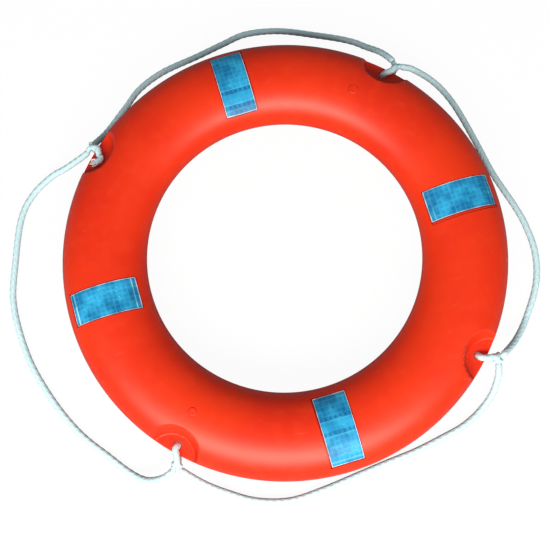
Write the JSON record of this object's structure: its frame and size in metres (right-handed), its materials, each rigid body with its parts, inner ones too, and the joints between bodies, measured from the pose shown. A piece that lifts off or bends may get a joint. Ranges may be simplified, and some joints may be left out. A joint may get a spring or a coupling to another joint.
{
  "type": "life ring",
  "caption": "Hard-shell foam-filled life ring with reflective tapes and a looped grab line hitched through webs in its rim.",
  "frame": {"origin": "on the ring's axis, at the plane that its back rests on", "axes": "+Z along the ring's axis towards its front; +X and +Y through the middles of two neighbouring tapes"},
  "size_m": [0.8807, 0.806, 0.1],
  "materials": {
    "shell_orange": "satin moulded polyethylene",
    "plug_orange": "satin moulded polyethylene",
    "core_foam": "rigid closed-cell foam",
    "tape_reflective": "retro-reflective film with a cell pattern",
    "rope_white": "plaited polypropylene line"
  },
  "bodies": {
    "ring": {"ring_shell": "shell_orange", "foam_core": "core_foam", "fill_plug": "plug_orange", "vent_plug": "plug_orange", "tape_front_right": "tape_reflective", "tape_front_top": "tape_reflective", "tape_front_left": "tape_reflective", "tape_front_bottom": "tape_reflective", "tape_back_right": "tape_reflective", "tape_back_top": "tape_reflective", "tape_back_left": "tape_reflective", "tape_back_bottom": "tape_reflective", "hitch_top_right": "rope_white", "hitch_top_left": "rope_white", "hitch_bottom_left": "rope_white", "hitch_bottom_right": "rope_white", "rope_tail": "rope_white"},
    "top_loop": {"grab_line_top": "rope_white"},
    "left_loop": {"grab_line_left": "rope_white"},
    "bottom_loop": {"grab_line_bottom": "rope_white"},
    "right_loop": {"grab_line_right": "rope_white"}
  },
  "joints": [
    {"name": "top_loop_swing", "type": "hinge", "parent": "ring", "child": "top_loop", "pos_m": [0.00778, 0.26587, 0.05], "axis": [0.9998, -0.0184, 0], "range_deg": [0, 60]},
    {"name": "left_loop_swing", "type": "hinge", "parent": "ring", "child": "left_loop", "pos_m": [-0.25986, -0.00389, 0.05], "axis": [-0.0039, 1, 0], "range_deg": [-25, 60]},
    {"name": "bottom_loop_swing", "type": "hinge", "parent": "ring", "child": "bottom_loop", "pos_m": [0.01025, -0.26976, 0.05], "axis": [-0.9995, -0.0328, 0], "range_deg": [-25, 60]},
    {"name": "right_loop_swing", "type": "hinge", "parent": "ring", "child": "right_loop", "pos_m": [0.27789, 0, 0.05], "axis": [0.0054, -1, 0], "range_deg": [-25, 60]}
  ]
}
